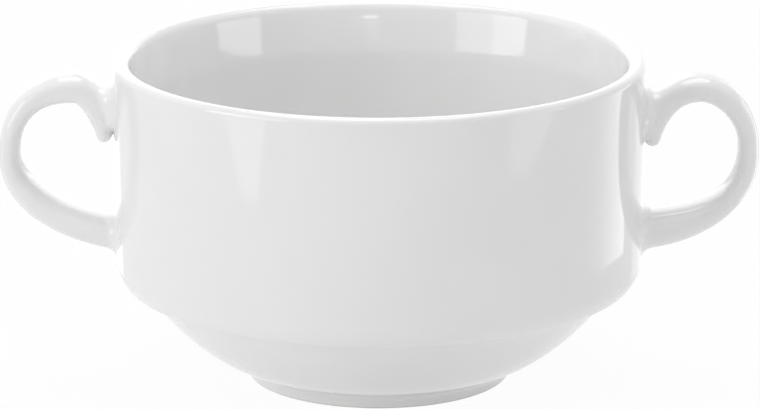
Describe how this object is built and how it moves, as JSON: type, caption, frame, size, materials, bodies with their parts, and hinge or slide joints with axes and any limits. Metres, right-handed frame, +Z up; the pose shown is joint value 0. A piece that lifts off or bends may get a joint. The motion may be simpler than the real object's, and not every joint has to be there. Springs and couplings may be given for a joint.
{
  "type": "bouillon cup",
  "caption": "Low round porcelain soup cup with a tapered stacking step, a foot ring and loop handles with inward finger rests.",
  "frame": {"origin": "centre of the foot ring, on the surface that the cup stands on", "axes": "+Z up along the axis of the cup, the handles lie along +X and -X, +Y away from the picture's viewer"},
  "size_m": [0.1502, 0.105, 0.0645],
  "materials": {
    "glaze": "glossy clear glaze over white porcelain"
  },
  "bodies": {
    "root": {"cup": "glaze"}
  },
  "joints": []
}
